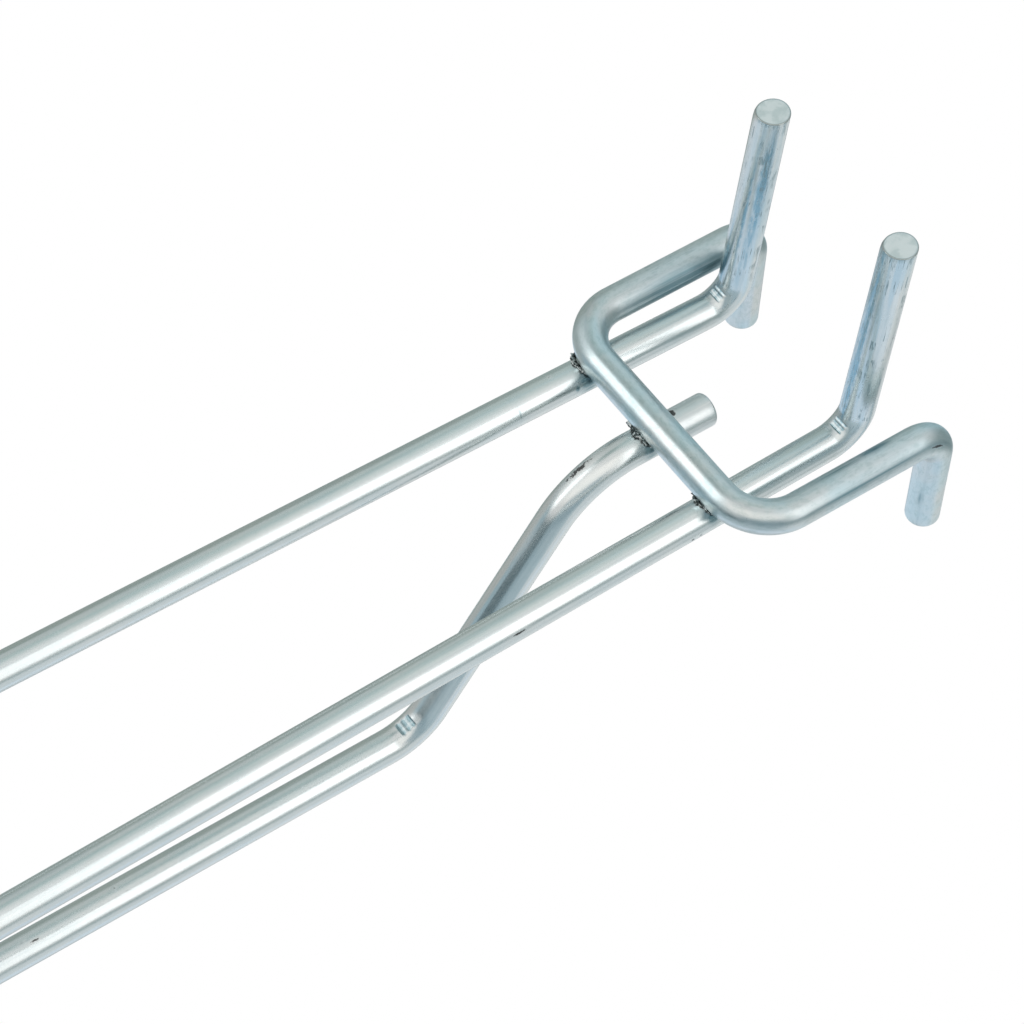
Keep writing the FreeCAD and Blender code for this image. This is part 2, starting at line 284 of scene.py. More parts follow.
def pressed(line, flats, along, around):
    """How deep the flats go at each place along (a column) and angle around (a row), and their hollows.

    A flat is crossed by ridges (1 - cos(2 pi s / pitch)) / 2 along the wire. Its hollows lie between them.
    The second array is the weight of painted shade in the dents, which grows with their depth and is weaker
    on the ridges.
    """
    depth = np.zeros((len(along), around.shape[1]))
    hollows = np.zeros_like(depth)
    for flat in flats:
        angle = around - turn_to(line, flat.middle, np.array(flat.toward))
        chord = (WIRE_RADIUS - flat.depth) / np.maximum(np.cos(angle), LEAST_COSINE)
        offset = along - flat.middle
        inside = smooth((flat.length / 2 - np.abs(offset)) / FLAT_STEP)
        ridge = 0.5 - 0.5 * np.cos(2 * np.pi * offset / RIPPLE_PITCH)
        dent = inside * np.clip(WIRE_RADIUS - chord - flat.ripple * ridge, 0, None)
        depth = np.maximum(depth, dent)
        # Painted shade in the dents, weaker on the ridges.
        hollow = smooth(dent / (HOLLOW_EDGE * flat.depth)) * (1 - RIDGE_UNSHADED * ridge)
        hollows = np.maximum(hollows, hollow)
    return depth, hollows


flat_width = 2 * np.sqrt(WIRE_RADIUS ** 2 - (WIRE_RADIUS - TAIL_FLAT_DEPTH) ** 2)
print(f"a flat {TAIL_FLAT_DEPTH / MM:.2f} mm deep is {flat_width / MM:.2f} mm wide")

# %% [markdown]
# ## Worn places
# Tools also leave the plating dulled or scratched without pressing it in, and patches of the same kind also
# lay painted shade and painted dark reflections on the wire. Such a patch is a soft bump of the bell kind,
# exp(-q), where q is the squared distance from its middle in patch lengths and widths. The blade that cuts
# the wire drags one side of it along, so that side of a sheared end is rolled over.

# %% Weigh the worn places
Patch = namedtuple("Patch", "middle toward length width weight")
Marks = namedtuple("Marks", "flats wear dull streaked sheared", defaults=((), (), (), 0.0, False))
ROLL_DEPTH = 0.4 * MM
ROLL_LENGTH = 1.5 * MM
BLADE_SIDE = np.array([1.0, 0.0, 0.0])


def wrapped(angle):
    """Angles brought to between minus half a turn and half a turn."""
    return (angle + np.pi) % (2 * np.pi) - np.pi


def worn(line, patches, along, around):
    """The weight of the patches at each place along (a column) and each angle around (a row)."""
    wear = np.zeros((len(along), around.shape[1]))
    for patch in patches:
        angle = wrapped(around - turn_to(line, patch.middle, np.array(patch.toward)))
        distance = ((along - patch.middle) / patch.length) ** 2 + (angle * WIRE_RADIUS / patch.width) ** 2
        wear = np.maximum(wear, patch.weight * np.exp(-distance))
    return wear


def rolled_over(line, along, around):
    """Depth of the rolled side of the two sheared ends of a wire, which fades along it and around it."""
    depth = np.zeros((len(along), around.shape[1]))
    for end in (0.0, line.length):
        facing = np.clip(np.cos(around - turn_to(line, end, BLADE_SIDE)), 0, 1) ** 2
        depth = depth + ROLL_DEPTH * facing * (1 - smooth(np.abs(along - end) / ROLL_LENGTH))
    return depth


print(f"sheared ends are rolled over by {ROLL_DEPTH / MM:.1f} mm")

# %% [markdown]
# ## Carrying the section along the wire
# The skin of a wire is a function of two numbers, the distance along it and the angle around it. Rings lie
# closer together on the bends, at the marks and at the ends. Each cut end is a rounded edge and a flat face
# that closes on one point. Attributes go with the skin for the finish: the place on the drawn wire, the cut
# faces and their rims, the streaks, the wear, and the dulled places together with the painted shade.

# %% Space the rings
SECTORS = 72
RUN_STEP = 0.9 * MM
BEND_STEP = 0.32 * MM
FLAT_RING_STEP = 0.1 * MM
SPOT_RING_STEP = 0.15 * MM
SMALL_SPOT = 3 * MM
FLAT_REACH = 0.6
SPOT_REACH = 1.6
EDGE_RINGS = 5
FACE_SHARES = np.array([0.9, 0.72, 0.5, 0.26])


def stretch_about(mark, reach, step):
    """Where the close rings of a mark begin and end along the wire, and how close they are."""
    return mark.middle - reach * mark.length, mark.middle + reach * mark.length, step


def ring_places(line, marks, edge):
    """Distances along the wire between its rounded ends, closer on bends and where a mark is small."""
    spots = [patch for patch in (*marks.wear, *marks.dull) if patch.length < SMALL_SPOT]
    fine = [stretch_about(flat, FLAT_REACH, FLAT_RING_STEP) for flat in marks.flats]
    fine += [stretch_about(spot, SPOT_REACH, SPOT_RING_STEP) for spot in spots]
    fine += [(bend.begin, bend.end, BEND_STEP) for bend in line.bends]
    limits = np.ravel([stretch[:2] for stretch in fine])
    stations = np.concatenate([[edge], line.begin[1:], [line.length - edge], limits])
    stations = np.unique(np.clip(stations, edge, line.length - edge))
    pieces = []
    for low, high in zip(stations[:-1], stations[1:]):
        middle = (low + high) / 2
        step = next((step for begin, end, step in fine if begin <= middle <= end), RUN_STEP)
        pieces.append(np.linspace(low, high, max(2, int(np.ceil((high - low) / step)) + 1))[:-1])
    return np.concatenate(pieces + [stations[-1:]])


def end_rings(edge):
    """How far in from the end, and how wide, the rings that close a cut end are, from the middle out."""
    angle = np.linspace(0, np.pi / 2, EDGE_RINGS, endpoint=False)
    inset = np.concatenate([np.zeros(len(FACE_SHARES)), edge * (1 - np.cos(angle))])
    rim = WIRE_RADIUS - edge
    return inset, np.concatenate([FACE_SHARES[::-1] * rim, rim + edge * np.sin(angle)])


print(len(ring_places(bracket_line, Marks(), TIP_EDGE)), "rings on a bracket with no marks")


# %% Put arrays into a mesh
def add_mesh(name, points, quads, caps, attributes):
    """A smooth mesh object from arrays of points, four-cornered faces and three-cornered faces."""
    mesh = bpy.data.meshes.new(name)
    corners = np.concatenate([quads.ravel(), caps.ravel()]).astype(np.int32)
    totals = np.concatenate([np.full(len(quads), 4), np.full(len(caps), 3)]).astype(np.int32)
    starts = np.concatenate([[0], np.cumsum(totals)[:-1]]).astype(np.int32)
    mesh.vertices.add(len(points))
    mesh.vertices.foreach_set("co", points.astype(np.float32).ravel())
    mesh.loops.add(len(corners))
    mesh.loops.foreach_set("vertex_index", corners)
    mesh.polygons.add(len(totals))
    mesh.polygons.foreach_set("loop_start", starts)
    mesh.update(calc_edges=True)
    mesh.validate()
    mesh.shade_smooth()
    for label, values in attributes.items():
        kind, key = ("FLOAT_VECTOR", "vector") if values.ndim == 2 else ("FLOAT", "value")
        mesh.attributes.new(label, kind, "POINT").data.foreach_set(key, values.astype(np.float32).ravel())
    piece = bpy.data.objects.new(name, mesh)
    bpy.context.scene.collection.objects.link(piece)
    return piece


def grid_faces(rings, sectors, joined=False):
    """Corner numbers of the quads between neighbouring rings, closed around.

    If the rings are joined, the last one meets the first.
    """
    ring, sector = np.meshgrid(np.arange(rings if joined else rings - 1), np.arange(sectors), indexing="ij")
    after = (sector + 1) % sectors
    here, there = ring * sectors, (ring + 1) % rings * sectors
    return np.stack([here + sector, here + after, there + after, there + sector], axis=-1).reshape(-1, 4)


def end_caps(rings):
    """Corner numbers of the triangles that close the first and the last ring on one point each."""
    sector = np.arange(SECTORS)
    after = (sector + 1) % SECTORS
    last = (rings - 1) * SECTORS
    first_point = np.full(SECTORS, rings * SECTORS)
    return np.concatenate([np.stack([first_point, after, sector], axis=1),
                           np.stack([first_point + 1, last + sector, last + after], axis=1)])


ring_quads, cap_triangles = grid_faces(2, SECTORS), end_caps(2)
print(len(ring_quads), "quads between two rings,", len(cap_triangles) // 2, "triangles on each end")

# %% Make the skin of a wire
STREAK_FADE = 6 * MM
HOLLOW_SHADE = 0.85


def skin_attributes(line, marks, along, around, radius, hollows):
    """What the finish reads at each point of a skin, the two end points last.

    wire_place is the place on the wire if it were straight, in millimetres. The others are weights: of the
    cut faces, of the rims of sheared ends, of the streaked lengths at the ends, of wear, and of dullness
    together with painted shade and painted dark reflection.
    """
    column = along[:, None]
    on_face = np.concatenate([np.ones(len(FACE_SHARES)), np.zeros(EDGE_RINGS)])
    on_rim = marks.sheared * (1 - on_face)
    between = np.zeros(len(along) - 2 * len(on_face))
    face = np.concatenate([on_face, between, on_face[::-1]])
    rim = np.concatenate([on_rim, between, on_rim[::-1]])
    from_end = np.minimum(along, line.length - along)
    streaks = smooth((marks.streaked - from_end) / STREAK_FADE) * (1 - face)
    place = np.stack(np.broadcast_arrays(radius * np.cos(around), radius * np.sin(around), column), axis=-1)
    end_places = np.array([[0, 0, along[0]], [0, 0, along[-1]]])
    wear = worn(line, marks.wear, column, around)
    # Painted shade: this weight lays painted shade beside the welds and in the dents, and painted dark
    # reflections on legs and tails, together with real stains and scratch lines.
    dull = np.maximum(worn(line, marks.dull, column, around), HOLLOW_SHADE * hollows)
    return {
        "wire_place": np.concatenate([place.reshape(-1, 3), end_places]) / MM,
        "cut_face": np.concatenate([np.repeat(face, SECTORS), [1, 1]]),
        "rim": np.concatenate([np.repeat(rim, SECTORS), [0, 0]]),
        "streaks": np.concatenate([np.repeat(streaks, SECTORS), [0, 0]]),
        "wear": np.concatenate([wear.ravel(), [0, 0]]),
        "dull": np.concatenate([dull.ravel(), [0, 0]]),
    }


def wire_skin(name, line, edge, marks):
    """A wire's skin: point = line(s) + r(s, a) (up cos a + side sin a), closed by a point at each end."""
    inset, end_radius = end_rings(edge)
    runs = ring_places(line, marks, edge)
    along = np.concatenate([inset, runs, (line.length - inset)[::-1]])
    radius = np.concatenate([end_radius, np.full(len(runs), WIRE_RADIUS), end_radius[::-1]])[:, None]
    around = np.linspace(0, 2 * np.pi, SECTORS, endpoint=False)[None, :]
    depth, hollows = pressed(line, marks.flats, along[:, None], around)
    radius = radius - depth * (radius > WIRE_RADIUS - edge / 2)
    if marks.sheared:
        radius = radius * (1 - rolled_over(line, along[:, None], around) / WIRE_RADIUS)
    middle, _, up, side = follow(line, along)
    spokes = up[:, None] * np.cos(around)[..., None] + side[:, None] * np.sin(around)[..., None]
    rings = middle[:, None] + radius[..., None] * spokes
    points = np.concatenate([rings.reshape(-1, 3), middle[[0, -1]]])
    attributes = skin_attributes(line, marks, along, around, radius, hollows)
    piece = add_mesh(name, points, grid_faces(len(along), SECTORS), end_caps(len(along)), attributes)
    print(name, len(piece.data.polygons), "faces")
    return piece


print(f"{SECTORS} points round each ring, streaks fade over {STREAK_FADE / MM:.0f} mm")

# %% [markdown]
# ## The marks on this hook
# A hook in a shop is never spotless: the tails were gripped and cut, and the legs were pushed through tools.
# Some darker patches are painted shade and painted dark reflection. They lie next to each weld, where the
# crossbar shades the wire and is mirrored in it, in bands along the tails and in lines along the legs. Each
# mark is a row: its middle along the wire, the side that it faces, its length, its width and its weight.
# Random marks would be quicker, but they would not lie where the tools touched the wire.

# %% Sweep the prong wire
SEARCH_STEP = 0.1 * MM
WELD_FRONT = CROSSBAR_Y - 1.8 * MM


def nearest(line, place):
    """The distance along a wire to its point nearest to a place."""
    tries = np.arange(0, line.length, SEARCH_STEP)
    return tries[np.argmin(np.sum((follow(line, tries)[0] - np.array(place)) ** 2, axis=1))]


def centre(bend):
    """The distance along a wire to the middle of one of its bends."""
    return (bend.begin + bend.end) / 2


def on_prong(way, y):
    """The distance along the prong wire to a place on its far (1) or near (-1) prong."""
    return nearest(prong_line, (WELD_X + way * crossing[0], y, PRONG_Z))


tail_flats = [Flat(centre(bend), bend.inward, 3.7 * MM, TAIL_FLAT_DEPTH, RIPPLE_DEPTH)
              for bend in (prong_line.bends[0], prong_line.bends[-1])]
# Painted dark reflection bands along both tails, and painted shade beside the two prong welds where the
# crossbar shades the wire and is mirrored in it. The thinnest rows are scratch lines and small marks.
prong_shade_and_marks = [Patch(16 * MM, (-0.89, -0.46, 0.0), 12 * MM, 0.9 * MM, 0.85),
              Patch(30 * MM, (-0.80, -0.60, 0.0), 12 * MM, 0.7 * MM, 0.6),
              Patch(38 * MM, (0.19, -0.98, 0.0), 8 * MM, 0.8 * MM, 0.75),
              Patch(22 * MM, (-0.42, -0.91, 0.0), 15 * MM, 0.35 * MM, 0.6),
              Patch(prong_line.length - 24 * MM, (0.16, -0.99, 0.0), 26 * MM, 1.1 * MM, 0.9),
              Patch(on_prong(1, WELD_FRONT), (-0.84, 0.0, -0.54), 1.7 * MM, 1.9 * MM, 1.5),
              Patch(on_prong(-1, WELD_FRONT), (-0.75, 0.0, -0.66), 1.1 * MM, 1.5 * MM, 1.2),
              Patch(on_prong(1, -49.0 * MM), (-0.80, 0.0, -0.60), 0.2 * MM, 1.0 * MM, 0.45),
              Patch(on_prong(1, -37.4 * MM), (-0.92, 0.0, -0.39), 0.4 * MM, 0.5 * MM, 1.5)]
prong_wear = [Patch(on_prong(-1, -74.7 * MM), (-0.90, 0.0, -0.44), 2.0 * MM, 0.35 * MM, 1.2),
              Patch(on_prong(-1, -39.3 * MM), (-0.99, 0.0, 0.10), 0.45 * MM, 0.5 * MM, 1.1),
              Patch(on_prong(-1, -37.6 * MM), (-0.99, 0.0, 0.10), 0.35 * MM, 0.4 * MM, 1.1),
              Patch(prong_line.length - 22 * MM, (-0.98, 0.18, 0.0), 12 * MM, 0.7 * MM, 0.78),
              Patch(on_prong(1, -41.0 * MM), (0.25, 0.0, -0.97), 0.6 * MM, 0.5 * MM, 1.0)]
prong_wear += [Patch(flat.middle, flat.toward, 3.2 * MM, 2.5 * MM, 0.4) for flat in tail_flats]
tail_length = PRONG_Z - prong_low[2]
prong_marks = Marks(tail_flats, prong_wear, prong_shade_and_marks, tail_length, True)
prongs = wire_skin("zinc_prongs", prong_line, SHEARED_EDGE, prong_marks)

# %% Sweep the bracket
LEG_MIDDLE = 12 * MM
far_leg = bracket_line.bends[0].end + LEG_MIDDLE
near_leg = bracket_line.length - far_leg
near_bend = bracket_line.bends[-1]
# Painted dark reflection lines and a painted dimming of the highlight along both legs, with thin scratches
# and a dark spot on the near leg and a line on the near peg.
leg_shade_and_scratches = [Patch(near_leg + 1 * MM, (-0.83, 0.0, -0.56), 18 * MM, 0.65 * MM, 0.85),
            Patch(near_leg, (-0.60, 0.0, -0.80), 16 * MM, 1.4 * MM, 0.3),
            Patch(near_leg, (0.70, 0.0, -0.71), 12 * MM, 0.6 * MM, 0.5),
            Patch(near_leg + 4.6 * MM, (0.50, 0.0, -0.86), 2.6 * MM, 0.7 * MM, 1.3),
            Patch(near_leg - 3.5 * MM, (0.40, 0.0, -0.92), 5 * MM, 0.35 * MM, 1.0),
            Patch(far_leg, (-0.95, 0.0, -0.30), 12 * MM, 2.3 * MM, 1.0),
            Patch(bracket_line.length - 8.5 * MM, (-0.47, -0.88, 0.0), 1.8 * MM, 0.35 * MM, 0.7)]
leg_wear = [Patch(near_leg + 4 * MM, (0.0, 0.0, -1.0), 16 * MM, 30 * MM, 0.6),
            Patch(far_leg, (0.0, 0.0, -1.0), 14 * MM, 30 * MM, 0.6),
            Patch(near_bend.begin + 2.6 * MM, (-0.90, 0.18, -0.39), 1.8 * MM, 0.4 * MM, 1.2)]
bracket = wire_skin("zinc_bracket", bracket_line, TIP_EDGE, Marks(wear=leg_wear, dull=leg_shade_and_scratches))

# %% Sweep the overarm wire
lower, upper = overarm_line.bends
overarm_flats = [Flat(centre(upper), upper.inward, 4.4 * MM, OVERARM_FLAT_DEPTH, RIPPLE_DEPTH)]
overarm_wear = [Patch(centre(lower), (0.45, -0.45, -0.77), 5 * MM, 1.1 * MM, 1.0),
                Patch(lower.end + 5 * MM, (0.08, -0.89, -0.44), 5 * MM, 0.6 * MM, 0.8),
                Patch(7.3 * MM, (0.35, 0.0, -0.94), 0.9 * MM, 1.2 * MM, 1.5),
                Patch(centre(lower), (0.0, 0.0, -1.0), 8 * MM, 4 * MM, 0.15),
                Patch(overarm_line.length - 56.7 * MM, (0.12, 0.0, -0.99), 0.5 * MM, 0.4 * MM, 1.0),
                Patch(overarm_line.length - 40.3 * MM, (-0.28, 0.0, -0.96), 1.6 * MM, 0.35 * MM, 1.1),
                Patch(overarm_line.length - 38.5 * MM, (-0.05, 0.0, -1.0), 1.0 * MM, 0.3 * MM, 1.0),
                Patch(0.0, (0.0, 0.0, -1.0), 14 * MM, 12 * MM, 0.4),
                Patch(centre(upper), upper.inward, 3.2 * MM, 2.5 * MM, 0.4),
                Patch(upper.begin - 4 * MM, (-0.35, -0.83, -0.43), 5 * MM, 2.5 * MM, 0.5)]
middle_weld = nearest(overarm_line, (WELD_X, WELD_FRONT, PRONG_Z))
# Painted shade beside the middle weld, where the crossbar shades the overarm and is mirrored in it.
overarm_weld_shade = [Patch(middle_weld, (-0.92, 0.0, -0.39), 1.4 * MM, 1.5 * MM, 1.4)]
overarm_marks = Marks(overarm_flats, overarm_wear, overarm_weld_shade)
overarm = wire_skin("zinc_overarm", overarm_line, TIP_EDGE, overarm_marks)

# %% [markdown]
# ## Metal squeezed out at the welds
# The crossings are resistance-welded: the wires are pressed together while a current melts them where
# they touch. What is squeezed out freezes as a torn lip round the seam. The seam is where the two round
# wires cut each other, which has a formula, so the lip is a thin oval section of uneven width and lean,
# carried once round that curve. A displaced ring would be rounder and would not follow the saddle.

# %% Describe a torn edge and the seam
FLASH_STEPS, FLASH_SECTORS = 360, 20
WAVES = 60
SEAM_HALF = np.arccos((PRONG_Z - WIRE_RADIUS) / WIRE_RADIUS)


def ragged(random, first, second, most):
    """Sum of waves cos(k a + m b + phase) / sqrt(k), brought to 0 to 1.

    k and m are random whole numbers, k from 1 to below most and m from -3 to 3.
    """
    k = random.integers(1, most, WAVES)[:, None, None]
    m = random.integers(-3, 4, WAVES)[:, None, None]
    phase = random.uniform(0, 2 * np.pi, WAVES)[:, None, None]
    total = np.sum(np.cos(k * first + m * second + phase) / np.sqrt(k), axis=0)
    return (total - total.min()) / np.ptp(total)


def weld_seam(middle_x, turn):
    """Points of the seam of the crossbar and a wire that crosses it, and the directions out of its middle.

    At angle u the wire's own angle f is h sin u, x = r sin f, z = height - r cos f, and y comes from the
    crossbar, y^2 = r^2 - z^2, on its front side while cos u is positive.
    """
    angle = SEAM_HALF * np.sin(turn)
    z = PRONG_Z - WIRE_RADIUS * np.cos(angle)
    y = -np.sign(np.cos(turn)) * np.sqrt(np.clip(WIRE_RADIUS ** 2 - z ** 2, 0, None))
    offset = np.stack([WIRE_RADIUS * np.sin(angle), y, np.zeros_like(y)], axis=1)
    middle = np.stack([np.full_like(y, middle_x), np.full_like(y, CROSSBAR_Y), z], axis=1)
    return offset + middle, unit(offset)


print(f"a seam spans {2 * WIRE_RADIUS * np.sin(SEAM_HALF) / MM:.2f} mm of the crossbar")

# %% Carry a torn lip round a seam
LIP_THICKNESS = 0.2 * MM
LIP_LEAN = 45
SWELL_SHARE = 0.35
SWELL_SPREAD = 0.7
UPWARD = np.array([0.0, 0.0, 1.0])


def weld_flash(name, middle_x, width, swell_at, seed):
    """A lip round a seam, widest at one angle of it.

    At angle u of the seam and angle v of the section: point = seam + width (0.35 + 0.65 cos v) along the
    lip + thickness sin v across it. The lip leans down from the outward direction by up to LIP_LEAN degrees.
    """
    random = np.random.default_rng(seed)
    u = np.linspace(0, 2 * np.pi, FLASH_STEPS, endpoint=False)[:, None]
    v = np.linspace(0, 2 * np.pi, FLASH_SECTORS, endpoint=False)[None, :]
    seam, outward = weld_seam(middle_x, u[:, 0])
    bulge = np.exp(-(wrapped(u - np.radians(swell_at)) / SWELL_SPREAD) ** 2)
    swell = 1 - SWELL_SHARE + SWELL_SHARE * bulge
    tears = 0.45 + 0.55 * ragged(random, u, 0 * v, 40)
    crumbs = 0.85 + 0.3 * ragged(random, u, v, 60)
    lean = np.radians(LIP_LEAN * ragged(random, u, 0.5 * v, 14))[..., None]
    thick = LIP_THICKNESS * (0.5 + ragged(random, u, v, 50))
    along_lip = outward[:, None] * np.cos(lean) - UPWARD * np.sin(lean)
    across_lip = outward[:, None] * np.sin(lean) + UPWARD * np.cos(lean)
    reach = width * swell * tears * crumbs * (0.35 + 0.65 * np.cos(v))
    points = seam[:, None] + reach[..., None] * along_lip + (thick * np.sin(v))[..., None] * across_lip
    faces = grid_faces(FLASH_STEPS, FLASH_SECTORS, joined=True)
    return add_mesh(name, points.reshape(-1, 3), faces, np.empty((0, 3), int), {})


def enclosed(piece):
    """Volume inside a closed mesh in cubic millimetres, positive when its faces look outwards."""
    piece.data.calc_loop_triangles()
    corners = np.empty(len(piece.data.loop_triangles) * 3, np.int32)
    piece.data.loop_triangles.foreach_get("vertices", corners)
    points = np.empty(len(piece.data.vertices) * 3, np.float32)
    piece.data.vertices.foreach_get("co", points)
    a, b, c = points.reshape(-1, 3).astype(float)[corners.reshape(-1, 3)].transpose(1, 0, 2) / MM
    return np.sum(a * np.cross(b, c)) / 6


FLASHES = [("weld_flash_far", WELD_X + crossing[0], 1.7 * MM, 75, 3),
           ("weld_flash_middle", WELD_X, 2.3 * MM, 60, 11),
           ("weld_flash_near", WELD_X - crossing[0], 1.6 * MM, 60, 7)]
flashes = [weld_flash(*flash) for flash in FLASHES]
for piece in (prongs, bracket, overarm, *flashes):
    print(f"{piece.name}: {enclosed(piece):.2f} cubic mm")

# %% [markdown]
# ## Shader arithmetic
# A finish is a formula on the surface, so it is easier to read as arithmetic than as a list of links. One
# small class wraps a socket: plus, minus and times add Math nodes, and every other node comes from its
# node method.

# %% Wrap a socket
class Flow:
    """A value that flows through a shader tree."""

    def __init__(self, tree, socket=None):
        self.tree = tree
        self.socket = socket

    def node(self, kind, settings=None, inputs=None, output=0):
        """Add a node, set it up, feed its sockets with numbers, colours or flows, and give one output."""
        made = self.tree.nodes.new(kind)
        for key, value in (settings or {}).items():
            setattr(made, key, value)
        for key, value in (inputs or {}).items():
            target = made.inputs[key]
            if isinstance(value, Flow):
                self.tree.links.new(value.socket, target)
            else:
                target.default_value = value
        return Flow(self.tree, made.outputs[output])

    def maths(self, operation, *values):
        """A Math node on numbers and flows."""
        return self.node("ShaderNodeMath", {"operation": operation}, dict(enumerate(values)))

    def __add__(self, other):
        return self.maths("ADD", self, other)

    def __sub__(self, other):
        return self.maths("SUBTRACT", self, other)

    def __rsub__(self, other):
        return self.maths("SUBTRACT", other, self)

    def __mul__(self, other):
        return self.maths("MULTIPLY", self, other)

    def __abs__(self):
        return self.maths("ABSOLUTE", self)

    __radd__ = __add__
    __rmul__ = __mul__

    def scaled(self, factors):
        """A vector or colour with each part multiplied by its own number."""
        return self.node("ShaderNodeVectorMath", {"operation": "MULTIPLY"}, {0: self, 1: factors})

    def noise(self, scale, detail=3.0, roughness=0.5):
        """Soft random values about 0.5 on this vector."""
        return self.node("ShaderNodeTexNoise", None,
                         {"Vector": self, "Scale": scale, "Detail": detail, "Roughness": roughness})

    def between(self, low, high):
        """0 below low, 1 above high, smooth between."""
        return self.node("ShaderNodeMapRange", {"interpolation_type": "SMOOTHSTEP"},
                         {"Value": self, "From Min": low, "From Max": high})

    def mix(self, first, second):
        """The first colour where this is 0, the second where it is 1."""
        return self.node("ShaderNodeMix", {"data_type": "RGBA"}, {0: self, 6: first, 7: second}, 2)


print("methods of a flow:", [name for name in vars(Flow) if not name.startswith("_")])


# %% Start a material and end it as metal
def new_material(name):
    """An empty node material, its starting flow and its output node."""
    material = bpy.data.materials.new(name)
    material.use_nodes = True
    material.node_tree.nodes.clear()
    return material, Flow(material.node_tree), material.node_tree.nodes.new("ShaderNodeOutputMaterial")


def bare_metal(start, colour, rough, height, strength, depth):
    """A metal surface whose height is felt as a bump of some strength over a depth."""
    bump = start.node("ShaderNodeBump", None, {"Strength": strength, "Distance": depth, "Height": height})
    return start.node("ShaderNodeBsdfPrincipled", None,
                      {"Base Color": colour, "Roughness": rough, "Metallic": 1.0, "Normal": bump})


print("materials of the packed hook:", [material.name for material in bpy.data.materials])

# %% [markdown]
# ## The zinc finish
# Bright zinc is a metal mirror that is a little blurred. Drawing the wire left fine lines along it, and the
# plating left soft clouds and mottles in a cool grey film. Bending and cutting left scratches, specks and
# stains, which are bluer and wrinkled on the tails. Over these lies painted shade: next to the welds, in the
# dents of the tools, and in painted dark reflection lines along the legs and tails. A painted picture could
# show all that, but a formula on the place along and around the wire fits any length of it and stays sharp
# close up. The blur varies with the lines and the wear, and a weak bump lets the lines break up the
# reflections.

# %% Pattern the film
Skin = namedtuple("Skin", "place cut rim streaks wear dull")
Patterns = namedtuple("Patterns", "lines clouds scratches specks")
DRAW_STRETCH = (1.5, 1.5, 0.025)
SCRATCH_STRETCH = (1.2, 1.2, 0.05)


def read_skin(start):
    """What a wire's skin carries, as flows."""
    place = start.node("ShaderNodeAttribute", {"attribute_name": "wire_place"}, output="Vector")
    weights = [start.node("ShaderNodeAttribute", {"attribute_name": label}, output="Fac")
               for label in ("cut_face", "rim", "streaks", "wear", "dull")]
    return Skin(place, *weights)


def film_patterns(skin):
    """The draw lines, the clouds, the scratches and the specks of a film.

    A scratch lies where a long, thin noise passes 0.5, on streaked or worn zinc, with gaps left by a second
    noise. A speck lies where a fine noise plus 0.9 times the wear is above 1.22.
    """
    lines = skin.place.scaled(DRAW_STRETCH).noise(1.0, 3.0, 0.5)
    clouds = skin.place.noise(0.14, 3.0)
    level = skin.place.scaled(SCRATCH_STRETCH).noise(1.0, 4.0, 0.55)
    contour = 1 - abs(level - 0.5).between(0.005, 0.024)
    gaps = skin.place.noise(0.35, 2.0).between(0.45, 0.58)
    scratches = (skin.streaks + 0.5 * skin.wear) * contour * gaps
    specks = (skin.place.noise(1.7, 4.0, 0.7) + 0.9 * skin.wear - 1.22).between(0.0, 0.1)
    return Patterns(lines, clouds, scratches, specks)


print("draw lines are", round(DRAW_STRETCH[0] / DRAW_STRETCH[2]), "times as long as they are wide")

# %% Colour the film
Film = namedtuple("Film", "haze mottling bright cool hazed")
DRAWN_GREY = (0.88, 0.90, 0.91)
MOTTLE = (0.74, 0.80, 0.79)
BLUE_TINT = (0.82, 0.91, 0.97)
# Painted shade and real stains share these colours: grey on the wires, blue on the tails, and the deep one
# mostly for the painted shade beside the welds.
GREY_SHADE_AND_STAIN = (0.36, 0.48, 0.52)
BLUE_SHADE_AND_STAIN = (0.38, 0.58, 0.70)
DEEP_SHADE_AND_STAIN = (0.10, 0.17, 0.21)
SCRATCH = (0.38, 0.48, 0.52)
SPECK = (0.16, 0.16, 0.16)
SHEARED_RIM = (0.55, 0.57, 0.56)
TORN_DARK = (0.70, 0.75, 0.74, 1)
TORN_BRIGHT = (0.85, 0.87, 0.86, 1)
MOTTLE_STRETCH = (1.3, 1.3, 0.7)
TINT_STRETCH = (0.5, 0.5, 0.035)
WRINKLE_STRETCH = (2.0, 2.0, 0.4)


